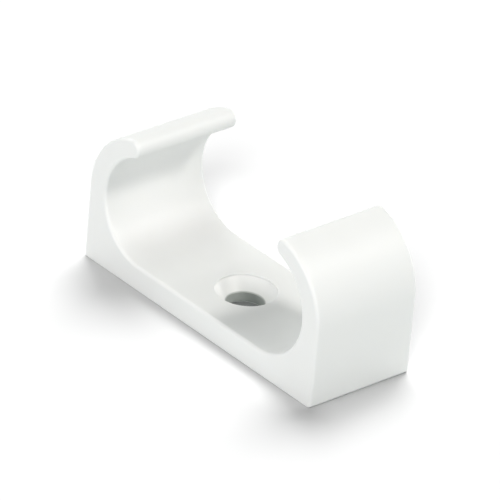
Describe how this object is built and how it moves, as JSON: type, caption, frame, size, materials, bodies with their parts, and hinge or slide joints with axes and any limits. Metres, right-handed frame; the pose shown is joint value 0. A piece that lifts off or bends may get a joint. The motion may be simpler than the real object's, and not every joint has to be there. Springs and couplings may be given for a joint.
{
  "type": "conduit clip",
  "caption": "Open plastic clip that snaps over an oval conduit and is screwed to a wall through its base.",
  "frame": {"origin": "centre of the flat underside, on the axis of the screw hole", "axes": "+X across the channel, +Y along the conduit, +Z away from the wall, through the mouth"},
  "size_m": [0.0378, 0.0138, 0.0172],
  "materials": {
    "white_plastic": "injection-moulded white PVC with a soft sheen"
  },
  "bodies": {
    "root": {"clip_body": "white_plastic"}
  },
  "joints": []
}
